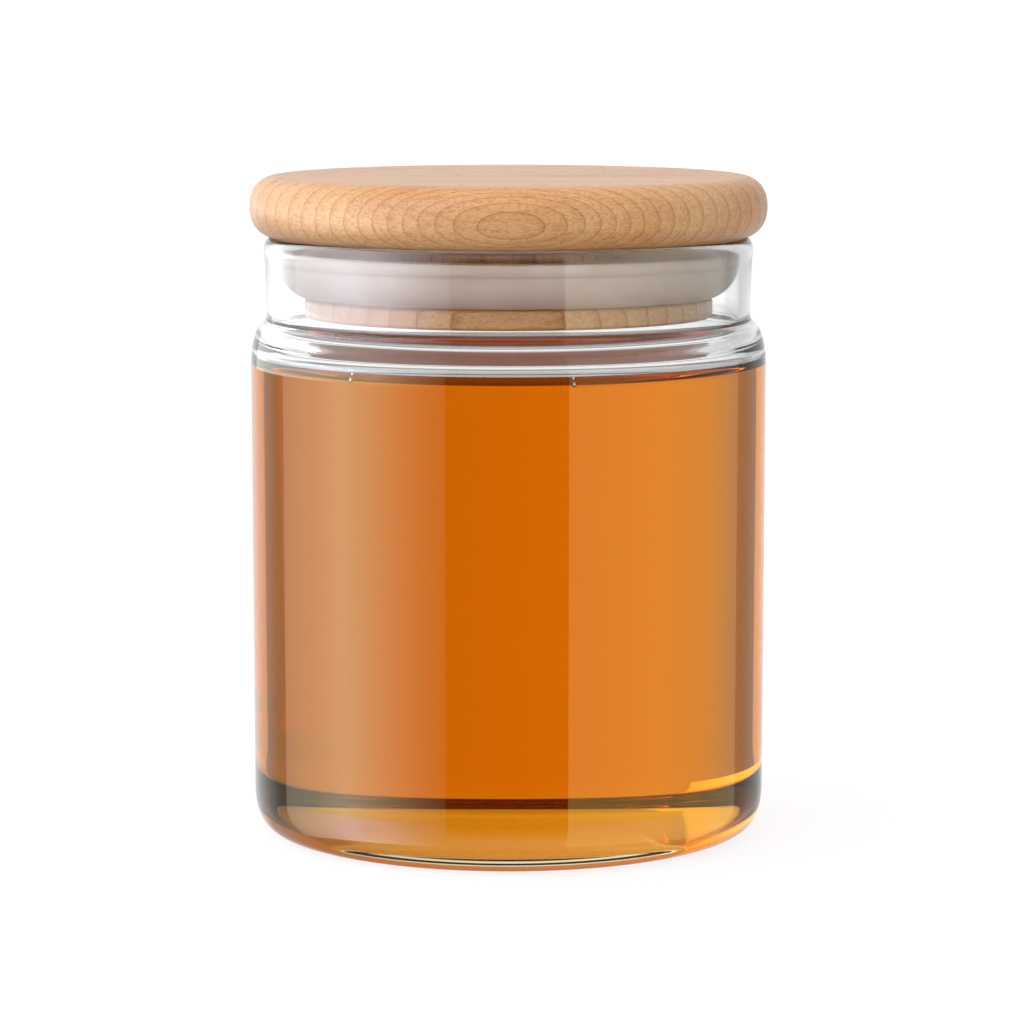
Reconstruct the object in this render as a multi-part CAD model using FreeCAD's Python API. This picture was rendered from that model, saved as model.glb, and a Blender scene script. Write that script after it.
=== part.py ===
import FreeCAD, Part
import math
import os

# Honey jar, in millimetres: a clear glass jar with a low shoulder and a straight neck, filled with honey
# to the foot of the shoulder, and closed by a turned beech lid with a silicone gasket round its plug.
# Every piece is turned about +Z. The origin is the centre of the flat foot that the jar stands on.

# Glass jar, outside
body_radius = 42.5  # at the top of the straight body
body_taper = 0.16  # how much narrower the body is just above its heel
heel_reach = 6.19  # how far the flat foot stands in from the body
heel_height = 8.1  # from the foot up to the straight body
heel_squareness = 2.7  # exponent of the heel's outline: 2 is an ellipse, more is squarer
body_height = 69.4  # straight stretch between heel and shoulder
shoulder_height = 7.4
shoulder_step = 2.63  # how far the neck stands in from the body
shoulder_fillet = 0.8  # in the corner where the neck rises from the shoulder
neck_height = 13.67  # from the top of the shoulder to the rim
lip_swell = 0.38  # how far the fire-polished lip stands out from the neck's foot
lip_drop = 2.1  # from the rim down to the lip's widest line

# Glass jar, inside
body_wall = 2.2
neck_wall = 1.87
base_thickness = 3.0
inner_heel_reach = 5.0  # how far the rounded inner corner reaches in from the wall
inner_heel_height = 4.5
inner_heel_squareness = 2.3
inner_shoulder_rise = 1.6  # the inner shoulder starts this far above the outer one
inner_shoulder_height = 5.4
inner_shoulder_sharpness = 2.0  # more makes its S steeper in the middle
rim_outer_round = 1.2
rim_inner_round = 0.7

# Honey
honey_drop = 0.5  # from the outer shoulder's start up to the honey's surface

# Lid
lid_overhang = 0.06  # how far the lid's edge stands out from the body
lid_thickness = 10.0
lid_edge_reach = 4.5  # of the rounded edge, from the flat face out to its widest line
lid_edge_squareness = 2.2
collar_gap = 2.8  # between the plug's upper collar and the neck
collar_height = 2.27
boss_gap = 4.4  # between the plug's lower boss and the neck
boss_height = 3.4
boss_round = 0.7

# Gasket
gasket_height = 7.2
gasket_band = 1.9  # height of its top band, which presses on the neck
gasket_depth = 6.5  # from the neck in to the bottom of the plug's groove
gasket_lip_step = 0.25  # below the band the gasket draws in by this much
gasket_foot_inset = 4.9  # how far its lower edge stands in from the neck
gasket_squareness = 1.7

# Places that follow from the sizes
foot_radius = body_radius - body_taper - heel_reach
shoulder_start = heel_height + body_height
shoulder_top = shoulder_start + shoulder_height
rim_top = shoulder_top + neck_height
neck_radius = body_radius - shoulder_step
neck_bore = neck_radius - neck_wall
honey_level = shoulder_start + honey_drop
collar_bottom = rim_top - collar_height
groove_bottom = collar_bottom - gasket_height
boss_bottom = groove_bottom - boss_height
groove_radius = neck_bore - gasket_depth

OUTLINE_STEPS = 10


class Outline:
    """A closed half outline in the XZ plane, drawn stretch by stretch, with x as the radius."""

    def __init__(self, radius, height):
        self.start = FreeCAD.Vector(radius, 0, height)
        self.place = self.start
        self.edges = []

    def line(self, radius, height):
        end = FreeCAD.Vector(radius, 0, height)
        self.edges.append(Part.makeLine(self.place, end))
        self.place = end

    def curve(self, points, leaving, arriving):
        """A smooth stretch through points, with its end directions as (radius, height) pairs."""
        spline = Part.BSplineCurve()
        spline.interpolate(
            Points=[self.place] + points,
            InitialTangent=FreeCAD.Vector(leaving[0], 0, leaving[1]),
            FinalTangent=FreeCAD.Vector(arriving[0], 0, arriving[1]),
        )
        self.edges.append(spline.toShape())
        self.place = points[-1]

    def corner(self, radius, height, upright_first, squareness=2.0):
        """A quarter of a superellipse that leaves upright or level and arrives the other way."""
        across = radius - self.place.x
        rise = height - self.place.z
        points = []
        for step in range(1, OUTLINE_STEPS + 1):
            angle = math.pi / 2 * step / OUTLINE_STEPS
            begun = math.sin(angle) ** (2 / squareness)
            left = max(math.cos(angle), 0.0) ** (2 / squareness)
            if step == OUTLINE_STEPS:
                left = 0.0
            if upright_first:
                share_across = 1 - left
                share_up = begun
            else:
                share_across = begun
                share_up = 1 - left
            points.append(
                FreeCAD.Vector(self.place.x + across * share_across, 0, self.place.z + rise * share_up)
            )
        level = (math.copysign(1, across), 0)
        upright = (0, math.copysign(1, rise))
        if upright_first:
            self.curve(points, upright, level)
        else:
            self.curve(points, level, upright)

    def ogee(self, radius, height, sharpness):
        """An even S-shaped stretch that leaves and arrives upright."""
        across = radius - self.place.x
        rise = height - self.place.z
        points = []
        for step in range(1, OUTLINE_STEPS + 1):
            share = step / OUTLINE_STEPS
            begun = share**sharpness
            left = (1 - share) ** sharpness
            swing = begun / (begun + left)
            points.append(FreeCAD.Vector(self.place.x + across * swing, 0, self.place.z + rise * share))
        upright = (0, math.copysign(1, rise))
        self.curve(points, upright, upright)

    def turned(self):
        """The solid that the closed outline makes when it turns about the Z axis."""
        if not self.place.isEqual(self.start, 1e-9):
            self.line(self.start.x, self.start.z)
        face = Part.Face(Part.Wire(self.edges))
        return face.revolve(FreeCAD.Vector(0, 0, 0), FreeCAD.Vector(0, 0, 1), 360)


def glass_outside():
    """The jar as if it were solid glass, with a plain top where the rim is finished later."""
    outline = Outline(0, 0)
    outline.line(foot_radius, 0)
    outline.corner(body_radius - body_taper, heel_height, False, heel_squareness)
    outline.line(body_radius, shoulder_start)
    outline.corner(neck_radius, shoulder_top, True)
    lip_height = rim_top - lip_drop
    lip_rise = lip_height - shoulder_top
    points = []
    for share in (0.25, 0.5, 0.75, 1.0):
        swell = lip_swell * share * share
        points.append(FreeCAD.Vector(neck_radius + swell, 0, shoulder_top + lip_rise * share))
    outline.curve(points, (0, 1), (0, 1))
    outline.corner(neck_radius + lip_swell - rim_outer_round, rim_top, True)
    outline.line(0, rim_top)
    solid = outline.turned()
    corner_edges = []
    for edge in solid.Edges:
        at = edge.BoundBox
        level = at.ZMax - at.ZMin < 1e-6 and abs(at.ZMax - shoulder_top) < 1e-6
        if level and abs(at.XMax - neck_radius) < 1e-3:
            corner_edges.append(edge)
    return solid.makeFillet(shoulder_fillet, corner_edges)


def glass_inside():
    """The room inside the jar, up through the rim, which both the glass and the honey are cut to."""
    inner_shoulder_start = shoulder_start + inner_shoulder_rise
    foot_wall_radius = body_radius - body_taper - body_wall
    outline = Outline(0, base_thickness)
    outline.line(foot_wall_radius - inner_heel_reach, base_thickness)
    outline.corner(foot_wall_radius, base_thickness + inner_heel_height, False, inner_heel_squareness)
    outline.line(body_radius - body_wall, inner_shoulder_start)
    outline.ogee(neck_bore, inner_shoulder_start + inner_shoulder_height, inner_shoulder_sharpness)
    outline.line(neck_bore, rim_top - rim_inner_round)
    outline.corner(neck_bore + rim_inner_round, rim_top, True)
    outline.line(0, rim_top)
    return outline.turned()


def honey():
    """Honey fills the room inside the glass up to a level surface."""
    below_surface = Part.makeCylinder(body_radius, honey_level)
    return glass_inside().common(below_surface)


def lid():
    """One turned piece of beech: a disc with a rounded edge, and below it a plug with a groove."""
    edge_radius = body_radius + lid_overhang
    face_radius = edge_radius - lid_edge_reach
    lid_middle = rim_top + lid_thickness / 2
    lid_top = rim_top + lid_thickness
    collar_radius = neck_bore - collar_gap
    boss_radius = neck_bore - boss_gap
    outline = Outline(0, boss_bottom)
    outline.line(boss_radius - boss_round, boss_bottom)
    outline.corner(boss_radius, boss_bottom + boss_round, False)
    outline.line(boss_radius, groove_bottom - boss_round)
    outline.corner(boss_radius - boss_round, groove_bottom, True)
    outline.line(groove_radius, groove_bottom)
    outline.line(groove_radius, collar_bottom)
    outline.line(collar_radius, collar_bottom)
    outline.line(collar_radius, rim_top)
    outline.line(face_radius, rim_top)
    outline.corner(edge_radius, lid_middle, False, lid_edge_squareness)
    outline.corner(face_radius, lid_top, True, lid_edge_squareness)
    outline.line(0, lid_top)
    return outline.turned()


def gasket():
    """A silicone ring in the plug's groove: a band that presses on the neck, drawn in below to a foot."""
    band_bottom = collar_bottom - gasket_band
    foot = neck_bore - gasket_foot_inset
    outline = Outline(groove_radius, groove_bottom)
    outline.line(foot, groove_bottom)
    outline.corner(neck_bore - gasket_lip_step, band_bottom, False, gasket_squareness)
    outline.line(neck_bore, band_bottom)
    outline.line(neck_bore, collar_bottom)
    outline.line(groove_radius, collar_bottom)
    return outline.turned()


def check_and_write(name, shape):
    """Writes one piece, after making sure that it is one sound solid."""
    solids = shape.Solids
    if len(solids) != 1 or not solids[0].isValid():
        raise ValueError(name + " is not one sound solid")
    solids[0].exportStep("parts/" + name + ".step")
    box = solids[0].BoundBox
    print(name, "volume", round(solids[0].Volume / 1000, 2), "cm3, z", round(box.ZMin, 3), round(box.ZMax, 3))


os.makedirs("parts", exist_ok=True)
check_and_write("glass_jar", glass_outside().cut(glass_inside()))
check_and_write("honey", honey())
check_and_write("lid", lid())
check_and_write("gasket", gasket())
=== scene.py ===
import math

import bmesh
import bpy
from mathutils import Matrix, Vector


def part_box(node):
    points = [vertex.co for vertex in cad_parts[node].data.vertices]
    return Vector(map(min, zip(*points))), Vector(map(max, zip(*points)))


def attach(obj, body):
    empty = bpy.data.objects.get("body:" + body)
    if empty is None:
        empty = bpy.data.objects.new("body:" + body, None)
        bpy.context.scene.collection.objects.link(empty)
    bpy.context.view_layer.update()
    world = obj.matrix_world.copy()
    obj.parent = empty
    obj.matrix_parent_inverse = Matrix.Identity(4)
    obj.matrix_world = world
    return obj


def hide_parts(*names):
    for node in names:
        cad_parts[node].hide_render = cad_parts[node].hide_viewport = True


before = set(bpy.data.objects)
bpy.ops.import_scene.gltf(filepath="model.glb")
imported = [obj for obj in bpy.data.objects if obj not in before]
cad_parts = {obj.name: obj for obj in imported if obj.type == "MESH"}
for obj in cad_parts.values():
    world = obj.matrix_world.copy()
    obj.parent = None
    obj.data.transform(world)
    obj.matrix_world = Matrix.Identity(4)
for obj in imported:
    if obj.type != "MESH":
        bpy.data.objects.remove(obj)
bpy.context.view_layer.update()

MM = 0.001

# ---------------------------------------------------------------- sizes from the frame, in metres
jar_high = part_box("glass_jar")[1]
honey_low, honey_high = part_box("honey")
lid_low, lid_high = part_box("lid")
gasket_low, gasket_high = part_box("gasket")

BODY_RADIUS = 42.5 * MM
RIM_TOP = jar_high[2]
FLOOR_TOP = honey_low[2]
HONEY_LEVEL = honey_high[2]
BOSS_BOTTOM = lid_low[2]
LID_TOP = lid_high[2]
GROOVE_BOTTOM = gasket_low[2]
COLLAR_BOTTOM = gasket_high[2]

# ---------------------------------------------------------------- sizes of the shape, as in the model
BODY_TAPER = 0.16 * MM
HEEL_REACH = 6.19 * MM
HEEL_HEIGHT = 8.1 * MM
HEEL_SQUARENESS = 2.7
SHOULDER_START = 77.5 * MM
SHOULDER_HEIGHT = 7.4 * MM
SHOULDER_STEP = 2.63 * MM
SHOULDER_FILLET = 0.8 * MM
LIP_SWELL = 0.38 * MM
LIP_DROP = 2.1 * MM
BODY_WALL = 2.2 * MM
NECK_WALL = 1.87 * MM
INNER_HEEL_REACH = 5.0 * MM
INNER_HEEL_HEIGHT = 4.5 * MM
INNER_HEEL_SQUARENESS = 2.3
INNER_SHOULDER_DROP = -1.6 * MM
INNER_SHOULDER_HEIGHT = 5.4 * MM
INNER_SHOULDER_SHARPNESS = 2.0
RIM_OUTER_ROUND = 1.2 * MM
RIM_INNER_ROUND = 0.7 * MM
LID_OVERHANG = 0.06 * MM
LID_EDGE_REACH = 4.5 * MM
LID_EDGE_SQUARENESS = 2.2
COLLAR_GAP = 2.8 * MM
BOSS_GAP = 4.4 * MM
BOSS_ROUND = 0.7 * MM
GASKET_BAND = 1.9 * MM
GASKET_DEPTH = 6.5 * MM
GASKET_LIP_STEP = 0.25 * MM
GASKET_FOOT_INSET = 4.9 * MM
GASKET_SQUARENESS = 1.7
GASKET_FILM = 0.04 * MM  # the air film between gasket and glass, which keeps its edge in sight
WALL_BITE = 0.25 * MM  # how far the honey reaches into the wall, so that no air gap shows
MENISCUS_RISE = 1.05 * MM  # how far the honey climbs the wall
MENISCUS_SINK = 0.5 * MM  # how far its middle lies below the level
MENISCUS_REACH = 3.0 * MM
MENISCUS_CURL = 2.0

SHOULDER_TOP = SHOULDER_START + SHOULDER_HEIGHT
NECK_RADIUS = BODY_RADIUS - SHOULDER_STEP
NECK_BORE = NECK_RADIUS - NECK_WALL
INNER_SHOULDER_START = SHOULDER_START - INNER_SHOULDER_DROP
FOOT_WALL_RADIUS = BODY_RADIUS - BODY_TAPER - BODY_WALL

# ---------------------------------------------------------------- how finely things are turned
ROUND_STEPS = 288  # facets round the axis: fine enough that glass bends light smoothly
SOFT_STEPS = 192  # the same for wood and rubber, which only shade it
MERGE_REACH = 0.0005 * MM  # closes the seam and the poles of a turned piece
NEAR = 0.05 * MM  # how far a facet's centre may lie from the surface that it stands for


# ---------------------------------------------------------------- outlines and turning
class Outline:
    """Half of a turned piece's section as (radius, height) points."""

    def __init__(self, radius, height):
        """The outline starts at one point."""
        self.points = [(radius, height)]

    def line(self, radius, height, steps=1):
        """A straight stretch."""
        start = self.points[-1]
        for step in range(1, steps + 1):
            share = step / steps
            self.reach_for(radius, height, start, share, share)

    def reach_for(self, radius, height, start, share_across, share_up):
        """Adds the point that lies these shares of the way from the start to (radius, height)."""
        across = start[0] + (radius - start[0]) * share_across
        up = start[1] + (height - start[1]) * share_up
        self.points.append((across, up))

    def corner(self, radius, height, upright_first, squareness=2.0, steps=24):
        """A quarter of a superellipse that leaves upright or level and arrives the other way."""
        start = self.points[-1]
        for step in range(1, steps + 1):
            angle = math.pi / 2 * step / steps
            begun = math.sin(angle) ** (2 / squareness)
            left = max(math.cos(angle), 0.0) ** (2 / squareness) if step < steps else 0.0
            share_across, share_up = (1 - left, begun) if upright_first else (begun, 1 - left)
            self.reach_for(radius, height, start, share_across, share_up)

    def ogee(self, radius, height, sharpness=2.0, steps=32):
        """An even S-shaped stretch that leaves and arrives upright."""
        start = self.points[-1]
        for step in range(1, steps + 1):
            share = step / steps
            begun, left = share**sharpness, (1 - share) ** sharpness
            self.reach_for(radius, height, start, begun / (begun + left), share)


def soften(points, radius, height, reach, steps=10):
    """Rounds the outline's corner nearest to (radius, height) by a smooth curve over reach each way."""
    nearest = min(range(len(points)), key=lambda i: math.dist(points[i], (radius, height)))
    first, last = nearest, nearest
    while math.dist(points[first], points[nearest]) < reach:
        first -= 1
    while math.dist(points[last], points[nearest]) < reach:
        last += 1
    a, b, c = points[first], points[nearest], points[last]
    bend = []
    for step in range(1, steps):
        t = step / steps
        bend.append(tuple((1 - t) ** 2 * a[k] + 2 * t * (1 - t) * b[k] + t * t * c[k] for k in (0, 1)))
    return points[: first + 1] + bend + points[last:]


def socket(tree, name, kind, default=None):
    """Adds a named input to a geometry tree and gives back its identifier."""
    made = tree.interface.new_socket(name, in_out="INPUT", socket_type=kind)
    if default is not None:
        made.default_value = default
    return made.identifier


def geometry_tree(name):
    """An empty Geometry Nodes tree with a mesh in and a mesh out."""
    tree = bpy.data.node_groups.new(name, "GeometryNodeTree")
    tree.interface.new_socket("Geometry", in_out="INPUT", socket_type="NodeSocketGeometry")
    tree.interface.new_socket("Geometry", in_out="OUTPUT", socket_type="NodeSocketGeometry")
    return tree


def sums(tree, operation, first, second):
    """A maths node of two inputs, each either a number or another node's output."""
    made = tree.nodes.new("ShaderNodeMath")
    made.operation = operation
    for slot, source in zip(made.inputs, (first, second)):
        if isinstance(source, (int, float)):
            slot.default_value = source
        else:
            tree.links.new(source, slot)
    return made.outputs[0]


def lathe_tree():
    """Turns an outline, held in the XZ plane, about the Z axis: one row of points to each step."""
    tree = geometry_tree("lathe")
    ids = {
        "Steps": socket(tree, "Steps", "NodeSocketInt", ROUND_STEPS),
        "Points": socket(tree, "Points", "NodeSocketInt", 2),
        "Material": socket(tree, "Material", "NodeSocketMaterial"),
    }
    given = tree.nodes.new("NodeGroupInput")
    rows = sums(tree, "ADD", given.outputs["Steps"], 1)
    grid = node(
        tree, "GeometryNodeMeshGrid", links={"Vertices X": given.outputs["Points"], "Vertices Y": rows}
    )
    index = tree.nodes.new("GeometryNodeInputIndex").outputs[0]
    along = sums(tree, "FLOOR", sums(tree, "DIVIDE", sums(tree, "ADD", index, 0.5), rows), 0)
    step = sums(tree, "SUBTRACT", index, sums(tree, "MULTIPLY", along, rows))
    angle = sums(tree, "DIVIDE", sums(tree, "MULTIPLY", step, 2 * math.pi), given.outputs["Steps"])
    place = tree.nodes.new("GeometryNodeInputPosition").outputs[0]
    outline = node(
        tree, "GeometryNodeSampleIndex", {"data_type": "FLOAT_VECTOR", "domain": "POINT"},
        links={"Geometry": given.outputs["Geometry"], "Value": place, "Index": along},
    )
    parts = node(tree, "ShaderNodeSeparateXYZ", links={"Vector": outline.outputs["Value"]})
    spot = node(
        tree, "ShaderNodeCombineXYZ",
        links={
            "X": sums(tree, "MULTIPLY", parts.outputs["X"], sums(tree, "COSINE", angle, 0)),
            "Y": sums(tree, "MULTIPLY", parts.outputs["X"], sums(tree, "SINE", angle, 0)),
            "Z": parts.outputs["Z"],
        },
    )
    moved = node(
        tree, "GeometryNodeSetPosition", links={"Geometry": grid.outputs["Mesh"], "Position": spot.outputs[0]}
    )
    merged = node(
        tree, "GeometryNodeMergeByDistance", links={"Geometry": moved.outputs[0]}, Distance=MERGE_REACH
    )
    whole = node(tree, "GeometryNodeRealizeInstances", links={"Geometry": merged.outputs[0]})
    dressed = node(
        tree, "GeometryNodeSetMaterial",
        links={"Geometry": whole.outputs[0], "Material": given.outputs["Material"]},
    )
    node(tree, "NodeGroupOutput", links={"Geometry": dressed.outputs[0]})
    return tree, ids


def grown(name, start, tree, ids, values):
    """The mesh object that a geometry tree makes from a start mesh, with faces outward and shading smooth."""
    seed_object = bpy.data.objects.new(name + "_start", start)
    bpy.context.scene.collection.objects.link(seed_object)
    modifier = seed_object.modifiers.new("grow", "NODES")
    modifier.node_group = tree
    for key, value in values.items():
        modifier[ids[key]] = value
    bpy.context.view_layer.update()
    made = seed_object.evaluated_get(bpy.context.evaluated_depsgraph_get())
    mesh = bpy.data.meshes.new_from_object(made)
    seed_object.modifiers.remove(modifier)
    bpy.data.objects.remove(seed_object)
    mesh.name = name
    build = bmesh.new()
    build.from_mesh(mesh)
    bmesh.ops.recalc_face_normals(build, faces=build.faces)
    build.to_mesh(mesh)
    build.free()
    mesh.shade_smooth()
    piece = bpy.data.objects.new(name, mesh)
    bpy.context.scene.collection.objects.link(piece)
    return piece


def turn(name, outline, material, steps=ROUND_STEPS, closed=False):
    """A piece made by turning an outline about the Z axis; a closed outline ends where it begins."""
    ring = list(outline) + ([outline[0]] if closed else [])
    mesh = bpy.data.meshes.new(name + "_outline")
    mesh.from_pydata(
        [(radius, 0, height) for radius, height in ring], [(i, i + 1) for i in range(len(ring) - 1)], []
    )
    values = {"Steps": steps, "Points": len(ring), "Material": material}
    return grown(name, mesh, *LATHE, values)


# ---------------------------------------------------------------- materials
def linear(hex_colour):
    """A linear colour with alpha 1 from an sRGB hex value."""
    out = []
    for k in (0, 2, 4):
        c = int(hex_colour[k : k + 2], 16) / 255
        out.append(c / 12.92 if c <= 0.04045 else ((c + 0.055) / 1.055) ** 2.4)
    return (*out, 1.0)


def node(tree, kind, settings=None, links=None, **values):
    """Adds a node: settings are its own options, values its inputs by name, links maps inputs to outputs."""
    made = tree.nodes.new(kind)
    for key, value in (settings or {}).items():
        setattr(made, key, value)
    for key, value in values.items():
        made.inputs[key.replace("_", " ")].default_value = value
    for key, source in (links or {}).items():
        tree.links.new(source, made.inputs[key])
    return made


def new_material(name):
    """A material with an empty node tree."""
    material = bpy.data.materials.new(name)
    material.use_nodes = True
    material.node_tree.nodes.clear()
    return material, material.node_tree


def ramp(tree, source, stops):
    """A colour ramp on an output; stops are (position, hex colour or brightness)."""
    made = node(tree, "ShaderNodeValToRGB", links={"Fac": source})
    elements = made.color_ramp.elements
    while len(elements) < len(stops):
        elements.new(0.5)
    for element, (position, colour) in zip(elements, stops):
        element.position = position
        element.color = linear(colour) if isinstance(colour, str) else (colour, colour, colour, 1)
    return made.outputs["Color"]


def mix(tree, blend, share, base, over, strength=1.0):
    """Mixes a colour over a base; the share is a number or an output, which strength scales."""
    made = node(tree, "ShaderNodeMix", {"data_type": "RGBA", "blend_type": blend})
    if isinstance(share, (int, float)):
        made.inputs[0].default_value = share
    else:
        tree.links.new(sums(tree, "MULTIPLY", share, strength), made.inputs[0])
    for slot, source in ((made.inputs[6], base), (made.inputs[7], over)):
        if isinstance(source, str):
            slot.default_value = linear(source)
        else:
            tree.links.new(source, slot)
    return made.outputs[2]


GLASS_IOR = 1.52
HONEY_IOR = 1.49
# a metre of honey soaks up 1 - tint of each colour times the density: hardly any red, nearly all the blue
HONEY_TINT = (0.958, 0.727, 0.0035, 1)
HONEY_DENSITY = 86.0
# painted reflection colour: the yellow tint on reflections from glass with honey behind it
PAINTED_AMBER_GLINT = (1, 1, 0.5, 1)


def clear_glass(name="glass_soda_lime_blown", bend=GLASS_IOR, glint=(1, 1, 1, 1)):
    """Soda-lime glass, blown and fire-polished: clear, sharp-edged reflections, faintly wavy."""
    material, tree = new_material(name)
    place = node(tree, "ShaderNodeTexCoord")
    # swells about 18 mm apart, left by the blowing
    waves = node(
        tree, "ShaderNodeTexNoise", links={"Vector": place.outputs["Object"]}, Scale=55.0, Detail=1.0
    )
    relief = node(
        tree, "ShaderNodeBump", links={"Height": waves.outputs["Fac"]}, Strength=0.25, Distance=0.02 * MM
    )
    glass = node(
        tree, "ShaderNodeBsdfPrincipled", links={"Normal": relief.outputs["Normal"]},
        Base_Color=linear("fbfdfc"), Roughness=0.0, IOR=bend, Transmission_Weight=1.0,
    )
    glass.inputs["Specular Tint"].default_value = glint
    node(tree, "ShaderNodeOutputMaterial", links={"Surface": glass.outputs["BSDF"]})
    return material


def wetted_glass():
    """The same glass where honey wets it: both bend light almost alike, so its index is their ratio."""
    return clear_glass("glass_soda_lime_wetted", GLASS_IOR / HONEY_IOR)


def backed_glass():
    """The same glass outside with honey behind it, its reflections tinted yellow: a painted warm reflection
    that stands in for the amber light coming back out of the honey.
    """
    return clear_glass("glass_soda_lime_backed", GLASS_IOR, PAINTED_AMBER_GLINT)


def amber_honey(name="honey_clear_amber", bend=1.0):
    """Clear runny honey: amber by depth, so thin places look gold and thick ones deep orange. Against the
    glass it bends nothing itself, as the glass's wetted side does that for both."""
    material, tree = new_material(name)
    body = node(
        tree, "ShaderNodeBsdfPrincipled",
        Base_Color=(1, 1, 1, 1), Roughness=0.0, IOR=bend, Transmission_Weight=1.0,
    )
    depth = node(tree, "ShaderNodeVolumeAbsorption", Color=HONEY_TINT, Density=HONEY_DENSITY)
    node(
        tree, "ShaderNodeOutputMaterial",
        links={"Surface": body.outputs["BSDF"], "Volume": depth.outputs["Volume"]},
    )
    return material


def free_honey():
    """The honey's free surface, against air."""
    return amber_honey("honey_clear_amber_free", HONEY_IOR)


def dress(piece, material, chosen):
    """Gives a second material to the faces whose centre, as (radius, height), is chosen."""
    piece.data.materials.append(material)
    for face in piece.data.polygons:
        x, y, z = face.center
        if chosen(math.hypot(x, y), z):
            face.material_index = len(piece.data.materials) - 1


RING_FRONT = 31.0 * MM  # growth rings of the beech: narrow at the board's front edge, wider behind
RING_WIDENING = 3.5 * MM
RING_RATE = 7.0
RING_TILT = 0.1
RING_WANDER = 3.0 * MM


def beech_wood():
    """Beech, turned, fine-sanded and thinly oiled, so it has a soft sheen: fibre along X, growth rings
    stacked along Y, short ray flecks."""
    material, tree = new_material("beech_turned_sanded")
    place = node(tree, "ShaderNodeTexCoord").outputs["Object"]

    def stretched(scales, detail, roughness=0.5):
        """Noise whose cells are stretched: scales are cycles to the metre along X, Y and Z."""
        shaped = node(tree, "ShaderNodeMapping", links={"Vector": place}, Scale=scales)
        noise = node(
            tree, "ShaderNodeTexNoise", links={"Vector": shaped.outputs[0]},
            Scale=1.0, Detail=detail, Roughness=roughness,
        )
        return noise.outputs["Fac"]

    # growth rings: nearly flat sheets bent by a slow wander, each ending in a thin late line
    parts = node(tree, "ShaderNodeSeparateXYZ", links={"Vector": place})
    tilted = sums(tree, "ADD", parts.outputs["Y"], sums(tree, "MULTIPLY", parts.outputs["Z"], RING_TILT))
    wander = sums(tree, "MULTIPLY", stretched((8.0, 52.0, 52.0), 2.0), RING_WANDER)
    bent = sums(tree, "ADD", tilted, wander)
    depth = sums(tree, "MAXIMUM", sums(tree, "ADD", bent, RING_FRONT), 0.0)
    widened = sums(tree, "ADD", sums(tree, "DIVIDE", depth, RING_WIDENING), 1.0)
    years = sums(tree, "MULTIPLY", sums(tree, "LOGARITHM", widened, math.e), RING_RATE)
    ring = sums(tree, "FRACT", years, 0)
    early, middle, late, line = "dbad78", "d8a872", "d09c64", "bc824a"
    tone = ramp(
        tree, ring,
        [(0.0, early), (0.7, middle), (0.88, late), (0.93, line), (0.95, line), (0.98, early)],
    )
    # fibres: long pale and dark threads, 0.8 mm apart
    threads = stretched((30.0, 1300.0, 1300.0), 3.0, 0.6)
    fibre = ramp(tree, threads, [(0.32, "e8cfb2"), (0.55, "ffffff")])
    fibred = mix(tree, "MULTIPLY", 0.5, tone, fibre)
    # pores: a speckle all over, 0.3 mm apart, coarser than the real one so that it shows
    pores = ramp(tree, stretched((1500.0, 3600.0, 3600.0), 1.0), [(0.36, "cda47a"), (0.52, "ffffff")])
    speckled = mix(tree, "MULTIPLY", 0.4, fibred, pores)
    # slow drift of colour across the board, over some 17 mm
    drift = ramp(tree, stretched((16.0, 60.0, 60.0), 1.0), [(0.35, "f3dcc0"), (0.6, "ffffff")])
    drifted = mix(tree, "MULTIPLY", 0.8, speckled, drift)
    # rays: sheets 2 mm along the fibre, 5 mm deep and 0.4 mm thick, cut through as short dark dashes
    rays = ramp(tree, stretched((520.0, 200.0, 2400.0), 1.0), [(0.63, "000000"), (0.74, "ffffff")])
    flecked = mix(tree, "MIX", rays, drifted, "b0713c", 0.55)
    polish = node(
        tree, "ShaderNodeMapRange", links={"Value": threads},
        From_Min=0.3, From_Max=0.7, To_Min=0.5, To_Max=0.38,
    )
    relief = node(tree, "ShaderNodeBump", links={"Height": threads}, Strength=0.35, Distance=0.05 * MM)
    wood = node(
        tree, "ShaderNodeBsdfPrincipled",
        links={"Base Color": flecked, "Roughness": polish.outputs[0], "Normal": relief.outputs["Normal"]},
        Coat_Weight=0.45, Coat_Roughness=0.4, Coat_IOR=1.5,
    )
    node(tree, "ShaderNodeOutputMaterial", links={"Surface": wood.outputs["BSDF"]})
    return material


def white_silicone():
    """Silicone rubber, moulded: milky, slightly see-through white with a satin, faintly dimpled skin."""
    material, tree = new_material("silicone_moulded_milky")
    place = node(tree, "ShaderNodeTexCoord").outputs["Object"]
    # clouds 8 mm across in the rubber, and a skin dimpled every 0.4 mm
    clouds = node(tree, "ShaderNodeTexNoise", links={"Vector": place}, Scale=130.0, Detail=2.0)
    skin = node(tree, "ShaderNodeTexNoise", links={"Vector": place}, Scale=2600.0, Detail=1.0)
    tone = ramp(tree, clouds.outputs["Fac"], [(0.3, "cdb7ab"), (0.7, "d8c5bb")])
    satin = node(
        tree, "ShaderNodeMapRange", links={"Value": clouds.outputs["Fac"]},
        From_Min=0.3, From_Max=0.7, To_Min=0.34, To_Max=0.46,
    )
    relief = node(
        tree, "ShaderNodeBump", links={"Height": skin.outputs["Fac"]}, Strength=0.2, Distance=0.02 * MM
    )
    rubber = node(
        tree, "ShaderNodeBsdfPrincipled",
        links={"Base Color": tone, "Roughness": satin.outputs[0], "Normal": relief.outputs["Normal"]},
        IOR=1.41, Subsurface_Weight=0.6, Subsurface_Scale=2.5 * MM,
    )
    rubber.inputs["Subsurface Radius"].default_value = (1.0, 0.9, 0.85)
    node(tree, "ShaderNodeOutputMaterial", links={"Surface": rubber.outputs["BSDF"]})
    return material


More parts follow.
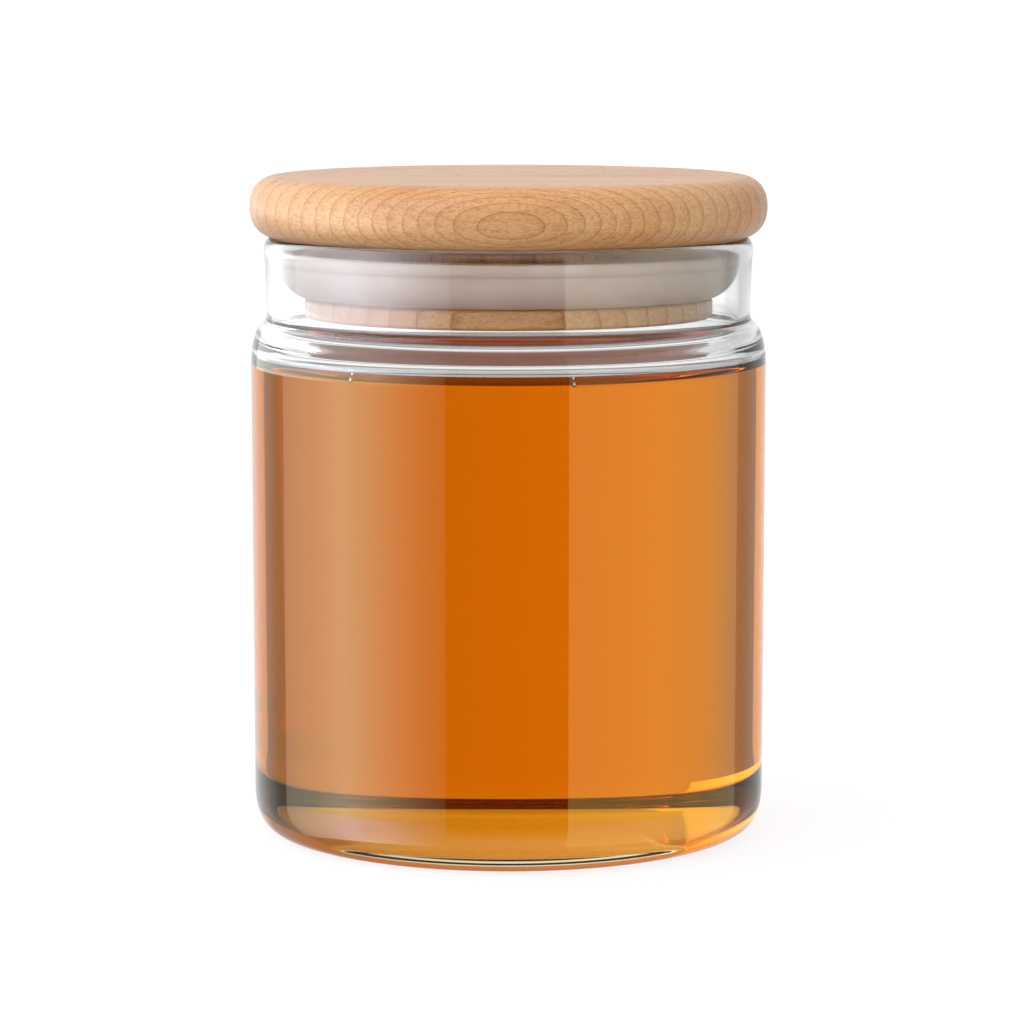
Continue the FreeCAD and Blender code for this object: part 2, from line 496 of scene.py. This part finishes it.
# ---------------------------------------------------------------- pieces
def glass_outside():
    """The jar's outside from the foot's centre to the top of the rim."""
    outline = Outline(0, 0)
    outline.line(BODY_RADIUS - BODY_TAPER - HEEL_REACH, 0, 4)
    outline.corner(BODY_RADIUS - BODY_TAPER, HEEL_HEIGHT, False, HEEL_SQUARENESS, 40)
    outline.line(BODY_RADIUS, SHOULDER_START, 12)
    outline.corner(NECK_RADIUS, SHOULDER_TOP, True, 2.0, 40)
    lip_rise = RIM_TOP - LIP_DROP - SHOULDER_TOP
    for step in range(1, 25):
        share = step / 24
        outline.points.append((NECK_RADIUS + LIP_SWELL * share * share, SHOULDER_TOP + lip_rise * share))
    outline.corner(NECK_RADIUS + LIP_SWELL - RIM_OUTER_ROUND, RIM_TOP, True, 2.0, 16)
    return soften(outline.points, NECK_RADIUS, SHOULDER_TOP, SHOULDER_FILLET)


def room_outline(margin, top):
    """The inside of the jar from its floor's centre up to the given height, let out by margin."""
    outline = Outline(0, FLOOR_TOP - margin)
    outline.line(FOOT_WALL_RADIUS - INNER_HEEL_REACH, FLOOR_TOP - margin, 4)
    outline.corner(
        FOOT_WALL_RADIUS + margin, FLOOR_TOP + INNER_HEEL_HEIGHT, False, INNER_HEEL_SQUARENESS, 40
    )
    outline.line(BODY_RADIUS - BODY_WALL + margin, INNER_SHOULDER_START, 12)
    outline.ogee(
        NECK_BORE + margin, INNER_SHOULDER_START + INNER_SHOULDER_HEIGHT, INNER_SHOULDER_SHARPNESS, 64
    )
    outline.line(NECK_BORE + margin, RIM_TOP - RIM_INNER_ROUND, 8)
    return [p for p in outline.points if p[1] <= top]


def room_radius(outline, height):
    """The inside's radius at a height."""
    for (low_radius, low), (high_radius, high) in zip(outline, outline[1:]):
        if low <= height <= high and low < high:
            return low_radius + (high_radius - low_radius) * (height - low) / (high - low)
    return 0.0


def make_glass():
    """The jar, with its faces dressed by what lies against them: air, honey or glass backed by honey."""
    inside = Outline(0, 0)
    inside.points = room_outline(0.0, RIM_TOP)
    inside.corner(NECK_BORE + RIM_INNER_ROUND, RIM_TOP, True, 2.0, 12)
    outline = glass_outside() + list(reversed(inside.points))
    piece = turn("glass_jar_clear", outline, clear_glass(), closed=True)
    wet_top = HONEY_LEVEL + MENISCUS_RISE

    def wetted(radius, height):
        """Whether a point lies on the inside below the honey's line."""
        if not FLOOR_TOP - NEAR < height < wet_top:
            return False
        return radius < room_radius(inside.points, max(height, FLOOR_TOP)) + NEAR

    dress(piece, wetted_glass(), wetted)
    dress(
        piece, backed_glass(),
        lambda radius, height: HEEL_HEIGHT < height < wet_top and radius > BODY_RADIUS - BODY_WALL / 2,
    )
    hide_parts("glass_jar")
    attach(piece, "root")


def make_honey():
    """The honey reaches just into the wall, and its surface creeps a little way up the glass."""
    contact = HONEY_LEVEL + MENISCUS_RISE
    still = HONEY_LEVEL - MENISCUS_SINK
    sides = room_outline(WALL_BITE, contact - 0.1 * MM)
    edge_radius = sides[-1][0]
    surface = [(edge_radius, contact)]
    steps = 24
    for step in range(steps + 1):
        share = step / steps
        climb = (1 - share) ** MENISCUS_CURL
        radius = edge_radius - WALL_BITE - MENISCUS_REACH * share
        surface.append((radius, still + (contact - still) * climb))
    surface.append((edge_radius * 0.5, still))
    surface.append((0, still))
    piece = turn("honey_filling", sides + surface, amber_honey())
    open_radius = edge_radius - 1.01 * WALL_BITE
    dress(
        piece, free_honey(),
        lambda radius, height: height > still - 0.01 * MM and radius < open_radius,
    )
    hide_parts("honey")
    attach(piece, "root")


def bubble_tree():
    """Round bubbles strewn evenly about the axis, between two distances from it and two heights."""
    tree = geometry_tree("pin_bubbles")
    ids = {
        "Count": socket(tree, "Count", "NodeSocketInt", 24),
        "Seed": socket(tree, "Seed", "NodeSocketInt", 3),
        "Inner Radius": socket(tree, "Inner Radius", "NodeSocketFloat", 0.0),
        "Outer Radius": socket(tree, "Outer Radius", "NodeSocketFloat", 0.0),
        "Low": socket(tree, "Low", "NodeSocketFloat", 0.0),
        "High": socket(tree, "High", "NodeSocketFloat", 0.0),
        "Smallest": socket(tree, "Smallest", "NodeSocketFloat", 0.0),
        "Largest": socket(tree, "Largest", "NodeSocketFloat", 0.0),
        "Material": socket(tree, "Material", "NodeSocketMaterial"),
    }
    given = tree.nodes.new("NodeGroupInput")

    def chance(low, high, offset):
        """A random number for each bubble; the offset keeps the draws apart."""
        made = node(tree, "FunctionNodeRandomValue", {"data_type": "FLOAT"})
        plain = {slot.identifier: slot for slot in made.inputs}
        for key, source in (("Min_001", low), ("Max_001", high)):
            if isinstance(source, (int, float)):
                plain[key].default_value = source
            else:
                tree.links.new(source, plain[key])
        tree.links.new(sums(tree, "ADD", given.outputs["Seed"], offset), plain["Seed"])
        return next(slot for slot in made.outputs if slot.identifier == "Value_001")

    radius = chance(given.outputs["Inner Radius"], given.outputs["Outer Radius"], 0)
    angle = chance(0.0, 2 * math.pi, 11)
    spot = node(
        tree, "ShaderNodeCombineXYZ",
        links={
            "X": sums(tree, "MULTIPLY", radius, sums(tree, "COSINE", angle, 0)),
            "Y": sums(tree, "MULTIPLY", radius, sums(tree, "SINE", angle, 0)),
            "Z": chance(given.outputs["Low"], given.outputs["High"], 23),
        },
    )
    spots = node(
        tree, "GeometryNodePoints", links={"Count": given.outputs["Count"], "Position": spot.outputs[0]}
    )
    ball = node(tree, "GeometryNodeMeshIcoSphere", Radius=1.0, Subdivisions=3)
    size = chance(given.outputs["Smallest"], given.outputs["Largest"], 37)
    strewn = node(
        tree, "GeometryNodeInstanceOnPoints",
        links={"Points": spots.outputs[0], "Instance": ball.outputs["Mesh"], "Scale": size},
    )
    whole = node(tree, "GeometryNodeRealizeInstances", links={"Geometry": strewn.outputs[0]})
    dressed = node(
        tree, "GeometryNodeSetMaterial",
        links={"Geometry": whole.outputs[0], "Material": given.outputs["Material"]},
    )
    node(tree, "NodeGroupOutput", links={"Geometry": dressed.outputs[0]})
    return tree, ids


def air_in_honey():
    """Air held in honey: a pin bubble throws back nearly all light, so it glints like a silver bead."""
    material, tree = new_material("air_bubble_in_honey")
    place = node(tree, "ShaderNodeTexCoord").outputs["Object"]
    film = node(tree, "ShaderNodeTexNoise", links={"Vector": place}, Scale=4000.0, Detail=1.0)
    sheen = node(
        tree, "ShaderNodeMapRange", links={"Value": film.outputs["Fac"]}, To_Min=0.02, To_Max=0.12
    )
    air = node(
        tree, "ShaderNodeBsdfPrincipled", links={"Roughness": sheen.outputs[0]},
        Base_Color=linear("ffffff"), Metallic=1.0,
    )
    node(tree, "ShaderNodeOutputMaterial", links={"Surface": air.outputs["BSDF"]})
    return material


LINE_SEED = 3758  # puts the two plump bubbles at the jar's front
FILM_SEED = 8
PIN_SEED = 5


def make_bubbles():
    """Two plump bubbles at the honey's line, fine ones beside them, and a few pins deeper in the honey."""
    wall = BODY_RADIUS - BODY_WALL
    tree, ids = bubble_tree()
    material = air_in_honey()
    line = HONEY_LEVEL - 0.2 * MM
    at_line = (line, line + 0.1 * MM)
    in_film = (line - 0.6 * MM, line + 0.3 * MM)
    deeper = (FLOOR_TOP + 8 * MM, HONEY_LEVEL - 2 * MM)
    # name, how many, seed, distances from the axis, heights, radii
    strews = (
        ("line_bubbles", 2, LINE_SEED, (wall - 0.6 * MM, wall - 0.55 * MM), at_line, (0.38 * MM, 0.42 * MM)),
        ("film_bubbles", 18, FILM_SEED, (wall - 0.6 * MM, wall - 0.3 * MM), in_film, (0.07 * MM, 0.16 * MM)),
        ("pin_bubbles", 40, PIN_SEED, (wall * 0.5, wall - 1.0 * MM), deeper, (0.05 * MM, 0.1 * MM)),
    )
    for name, count, seed, distances, heights, radii in strews:
        start = bpy.data.meshes.new(name + "_start")
        values = {
            "Count": count, "Seed": seed, "Material": material,
            "Inner Radius": distances[0], "Outer Radius": distances[1],
            "Low": heights[0], "High": heights[1],
            "Smallest": radii[0], "Largest": radii[1],
        }
        piece = grown(name, start, tree, ids, values)
        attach(piece, "root")


def make_lid():
    """The lid in one turned piece: the disc, the collar, the groove behind the gasket and the boss."""
    edge_radius = BODY_RADIUS + LID_OVERHANG
    face_radius = edge_radius - LID_EDGE_REACH
    middle = (RIM_TOP + LID_TOP) / 2
    collar_radius = NECK_BORE - COLLAR_GAP
    boss_radius = NECK_BORE - BOSS_GAP
    groove_radius = NECK_BORE - GASKET_DEPTH
    outline = Outline(0, BOSS_BOTTOM)
    outline.line(boss_radius - BOSS_ROUND, BOSS_BOTTOM, 6)
    outline.corner(boss_radius, BOSS_BOTTOM + BOSS_ROUND, False, 2.0, 8)
    outline.line(boss_radius, GROOVE_BOTTOM - BOSS_ROUND, 2)
    outline.corner(boss_radius - BOSS_ROUND, GROOVE_BOTTOM, True, 2.0, 8)
    outline.line(groove_radius, GROOVE_BOTTOM)
    outline.line(groove_radius, COLLAR_BOTTOM)
    outline.line(collar_radius, COLLAR_BOTTOM)
    outline.line(collar_radius, RIM_TOP)
    outline.line(face_radius, RIM_TOP, 2)
    outline.corner(edge_radius, middle, False, LID_EDGE_SQUARENESS, 16)
    outline.corner(face_radius, LID_TOP, True, LID_EDGE_SQUARENESS, 16)
    outline.line(0, LID_TOP, 8)
    piece = turn("lid_beech", outline.points, beech_wood(), SOFT_STEPS)
    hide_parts("lid")
    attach(piece, "root")


def make_gasket():
    """The gasket: a band pressed against the neck, whose foot curves in to the groove."""
    bore = NECK_BORE - GASKET_FILM
    band_bottom = COLLAR_BOTTOM - GASKET_BAND
    outline = Outline(NECK_BORE - GASKET_DEPTH, GROOVE_BOTTOM)
    outline.line(NECK_BORE - GASKET_FOOT_INSET, GROOVE_BOTTOM, 2)
    outline.corner(NECK_BORE - GASKET_LIP_STEP, band_bottom, False, GASKET_SQUARENESS, 24)
    outline.line(bore, band_bottom)
    outline.line(bore, COLLAR_BOTTOM, 2)
    outline.line(NECK_BORE - GASKET_DEPTH, COLLAR_BOTTOM, 2)
    piece = turn("gasket_silicone", outline.points, white_silicone(), SOFT_STEPS, closed=True)
    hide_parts("gasket")
    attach(piece, "root")


# ---------------------------------------------------------------- studio
CAMERA_BACK = 688.6 * MM
CAMERA_HEIGHT = 141.2 * MM
CAMERA_ASIDE = 0.58 * MM
CAMERA_PITCH = math.radians(7.32)
LENS = 147.0  # the lens's focal length in millimetres


def make_camera():
    """The camera, a little above the lid and looking slightly down."""
    data = bpy.data.cameras.new("camera")
    data.lens = LENS
    data.sensor_width = 36.0
    data.clip_start = 0.05
    data.clip_end = 100.0
    camera = bpy.data.objects.new("camera", data)
    camera.location = (CAMERA_ASIDE, -CAMERA_BACK, CAMERA_HEIGHT)
    camera.rotation_euler = (math.pi / 2 - CAMERA_PITCH, 0, 0)
    bpy.context.scene.collection.objects.link(camera)
    bpy.context.scene.camera = camera


def make_floor():
    """A plain pale card under the jar, nearly white to the camera."""
    mesh = bpy.data.meshes.new("floor")
    half = 40.0
    below = -0.05 * MM
    corners = [(-half, -half, below), (half, -half, below), (half, half, below), (-half, half, below)]
    mesh.from_pydata(corners, [], [(0, 1, 2, 3)])
    floor = bpy.data.objects.new("floor", mesh)
    bpy.context.scene.collection.objects.link(floor)
    material, tree = new_material("floor_pale_card")
    path = node(tree, "ShaderNodeLightPath")
    lift = node(
        tree, "ShaderNodeMapRange", links={"Value": path.outputs["Is Camera Ray"]}, To_Min=0.45, To_Max=0.85
    )
    card = node(
        tree, "ShaderNodeBsdfPrincipled", links={"Emission Strength": lift.outputs[0]},
        Base_Color=(0.15, 0.15, 0.15, 1), Roughness=0.9, Emission_Color=(1, 1, 1, 1),
    )
    node(tree, "ShaderNodeOutputMaterial", links={"Surface": card.outputs["BSDF"]})
    mesh.materials.append(material)
    floor.visible_glossy = False
    floor.visible_transmission = False


# the painted shadow under the jar, seen through its base: how far it reaches and how dimly it glows
SHADOW_DISC_REACH = 0.8  # of the body's radius
SHADOW_DISC_GLOW = 0.28


def make_painted_shadow_disc():
    """A dim glowing disc against the jar's foot, seen only through it: a painted shadow, darker than the
    world around it, that stands for the shaded table under the jar and gives the faint light that comes up
    through the base.
    """
    mesh = bpy.data.meshes.new("under_card")
    build = bmesh.new()
    bmesh.ops.create_circle(build, cap_ends=True, segments=96, radius=SHADOW_DISC_REACH * BODY_RADIUS)
    build.to_mesh(mesh)
    build.free()
    disc = bpy.data.objects.new("under_card", mesh)
    disc.location.z = -0.04 * MM
    bpy.context.scene.collection.objects.link(disc)
    material, tree = new_material("under_card")
    dim = node(tree, "ShaderNodeEmission", Color=(1, 1, 1, 1), Strength=SHADOW_DISC_GLOW)
    node(tree, "ShaderNodeOutputMaterial", links={"Surface": dim.outputs["Emission"]})
    mesh.materials.append(material)
    disc.visible_camera = False
    disc.visible_diffuse = False
    disc.visible_glossy = False
    disc.visible_shadow = False


def reflection_card(name, low, high, stops):
    """A curved card seen only in glass and sheen, a metre away: stops are (bearing in degrees from the
    camera's side, strength, share of blue)."""
    steps = 48
    start, end = stops[0][0], stops[-1][0]
    points, faces, glows = [], [], []
    for step in range(steps + 1):
        degrees = start + (end - start) * step / steps
        bearing = math.radians(degrees)
        x, y = CARD_DISTANCE * math.sin(bearing), -CARD_DISTANCE * math.cos(bearing)
        points += [(x, y, low), (x, y, high)]
        for (b0, s0, c0), (b1, s1, c1) in zip(stops, stops[1:]):
            share = (degrees - b0) / (b1 - b0)
            if -1e-6 <= share <= 1 + 1e-6:
                strength, blue = s0 + (s1 - s0) * share, c0 + (c1 - c0) * share
        glows += [(strength, strength, strength * blue, 1)] * 2
    for step in range(steps):
        a = 2 * step
        faces.append((a, a + 2, a + 3, a + 1))
    mesh = bpy.data.meshes.new(name)
    mesh.from_pydata(points, [], faces)
    layer = mesh.attributes.new("glow", "FLOAT_COLOR", "POINT")
    for item, glow in zip(layer.data, glows):
        item.color = glow
    card = bpy.data.objects.new(name, mesh)
    bpy.context.scene.collection.objects.link(card)
    material, tree = new_material(name)
    glow = node(tree, "ShaderNodeAttribute", {"attribute_name": "glow"})
    path = node(tree, "ShaderNodeLightPath")
    clean = sums(tree, "LESS_THAN", path.outputs["Diffuse Depth"], 0.5)
    light = node(tree, "ShaderNodeEmission", links={"Color": glow.outputs["Color"], "Strength": clean})
    node(tree, "ShaderNodeOutputMaterial", links={"Surface": light.outputs["Emission"]})
    mesh.materials.append(material)
    card.visible_camera = False
    card.visible_diffuse = False
    card.visible_shadow = False


# bearing in degrees from straight behind the jar, brightness of the backdrop there
BACKDROP = [
    (-180, 0.0), (-140, 0.05), (-80, 0.3), (-61, 0.45), (-54, 0.48), (-48, 0.66), (-36, 0.93), (-24, 1.08),
    (-12, 1.04), (0, 1.0), (8, 0.95), (17, 0.85), (27, 0.68), (38, 0.63), (44, 0.55), (52, 0.46),
    (58, 0.39), (80, 0.28), (140, 0.05), (180, 0.0),
]
# the cards: bearing in degrees from the camera's side, strength, share of blue
CARD_DISTANCE = 1.0
LEFT_STOPS = [
    (-27.1, 0.45, 1.2), (-40, 1.3, 1.15), (-60, 3.2, 1.15), (-76, 4.6, 1.15), (-95, 2.6, 1.1),
    (-117.4, 1.3, 1),
]
LEFT_HIGH_STOPS = [
    (-27.1, 0.5, 1.1), (-40, 1.7, 1.1), (-60, 4.4, 1.1), (-90, 5.0, 1.1), (-120, 3.4, 1), (-150, 2.0, 1),
]
LEFT_TOP_STOPS = [(-27.1, 0.5, 1.1), (-60, 1.5, 1.1), (-150, 1.5, 1)]
RIGHT_STOPS = [(26, 1.6, 0.65), (60, 1.6, 0.65), (100, 1.3, 0.7), (121, 1.0, 0.9)]
RIGHT_HIGH_STOPS = [(26, 0.8, 1.1), (60, 0.9, 1.1), (100, 0.9, 1.1), (121, 0.9, 1)]
# heights in metres where the cards begin, change and end
CARD_FOOT = -0.6
CARD_BREAK = -0.01
CARD_HIGH = 0.16
CARD_TOP = 0.9
# the world by the upward share of a direction: a roof, the table far below, and the dark under it
HIGH_START = 0.3
HIGH_END = 0.6
HIGH_TONE = "e0e0e0"
TABLE_START = -0.2
TABLE_END = -0.4
TABLE_TONE = "dadada"
DEEP_START = -0.42
DEEP_END = -0.68
DEEP_LIGHT = 0.5
# the soft fill on matt surfaces
FILL_LEVEL = 0.66
FILL_KEY = 2.5
FILL_TOWARD = (-0.70, -0.40, 0.59)
FILL_FOCUS = 3.0
THROUGH_LIFT = 1.7  # how much more of it matt things behind glass get


def make_world():
    """A pale backdrop that fades round to a dark room on the camera's side and below the table's edge; matt
    surfaces are lit by a soft fill that leans to the left and top."""
    world = bpy.data.worlds.new("studio")
    bpy.context.scene.world = world
    world.use_nodes = True
    tree = world.node_tree
    tree.nodes.clear()
    place = node(tree, "ShaderNodeTexCoord").outputs["Generated"]
    parts = node(tree, "ShaderNodeSeparateXYZ", links={"Vector": place})
    bearing = sums(tree, "ARCTAN2", parts.outputs["X"], parts.outputs["Y"])
    turn_share = sums(tree, "ADD", sums(tree, "DIVIDE", bearing, 2 * math.pi), 0.5)
    path = node(tree, "ShaderNodeLightPath")
    around = ramp(tree, turn_share, [(angle / 360 + 0.5, level) for angle, level in BACKDROP])
    low = node(
        tree, "ShaderNodeMapRange", {"interpolation_type": "SMOOTHSTEP"}, {"Value": parts.outputs["Z"]},
        From_Min=DEEP_END, From_Max=DEEP_START, To_Min=DEEP_LIGHT, To_Max=1.0,
    )
    high = node(
        tree, "ShaderNodeMapRange", {"interpolation_type": "SMOOTHSTEP"}, {"Value": parts.outputs["Z"]},
        From_Min=HIGH_START, From_Max=HIGH_END,
    )
    roofed = mix(tree, "MIX", high.outputs[0], around, HIGH_TONE)
    table = node(
        tree, "ShaderNodeMapRange", {"interpolation_type": "SMOOTHSTEP"}, {"Value": parts.outputs["Z"]},
        From_Min=TABLE_START, From_Max=TABLE_END,
    )
    tabled = mix(tree, "MIX", table.outputs[0], roofed, TABLE_TONE)
    seen = node(tree, "ShaderNodeVectorMath", {"operation": "SCALE"}, {0: tabled, "Scale": low.outputs[0]})
    lean = node(tree, "ShaderNodeVectorMath", {"operation": "DOT_PRODUCT"}, {0: place})
    lean.inputs[1].default_value = FILL_TOWARD
    key = sums(tree, "POWER", sums(tree, "MAXIMUM", lean.outputs["Value"], 0.0), FILL_FOCUS)
    fill = sums(tree, "ADD", sums(tree, "MULTIPLY", key, FILL_KEY), FILL_LEVEL)
    matt = sums(tree, "GREATER_THAN", path.outputs["Diffuse Depth"], 0.5)
    through = sums(tree, "GREATER_THAN", path.outputs["Transmission Depth"], 0.5)
    fill = sums(tree, "MULTIPLY", fill, sums(tree, "ADD", sums(tree, "MULTIPLY", through, THROUGH_LIFT), 1.0))
    lit = mix(tree, "MIX", matt, seen.outputs[0], fill)
    shown = mix(tree, "MIX", path.outputs["Is Camera Ray"], lit, "f9f9f9")
    sky = node(tree, "ShaderNodeBackground", links={"Color": shown}, Strength=1.0)
    node(tree, "ShaderNodeOutputWorld", links={"Surface": sky.outputs["Background"]})


def make_studio():
    """The floor, the light and the cards round the jar."""
    make_floor()
    make_painted_shadow_disc()
    make_world()
    reflection_card("card_left_low", CARD_FOOT, CARD_BREAK, LEFT_STOPS)
    reflection_card("card_left_high", CARD_BREAK, CARD_HIGH, LEFT_HIGH_STOPS)
    reflection_card("card_left_top", CARD_HIGH, CARD_TOP, LEFT_TOP_STOPS)
    reflection_card("card_right_low", CARD_FOOT, CARD_BREAK, RIGHT_STOPS)
    reflection_card("card_right_high", CARD_BREAK, CARD_TOP, RIGHT_HIGH_STOPS)
    scene = bpy.context.scene
    scene.view_settings.view_transform = "Standard"
    scene.cycles.max_bounces = 16
    scene.cycles.transmission_bounces = 16
    scene.cycles.glossy_bounces = 6


LATHE = lathe_tree()
make_glass()
make_honey()
make_bubbles()
make_lid()
make_gasket()
make_camera()
make_studio()
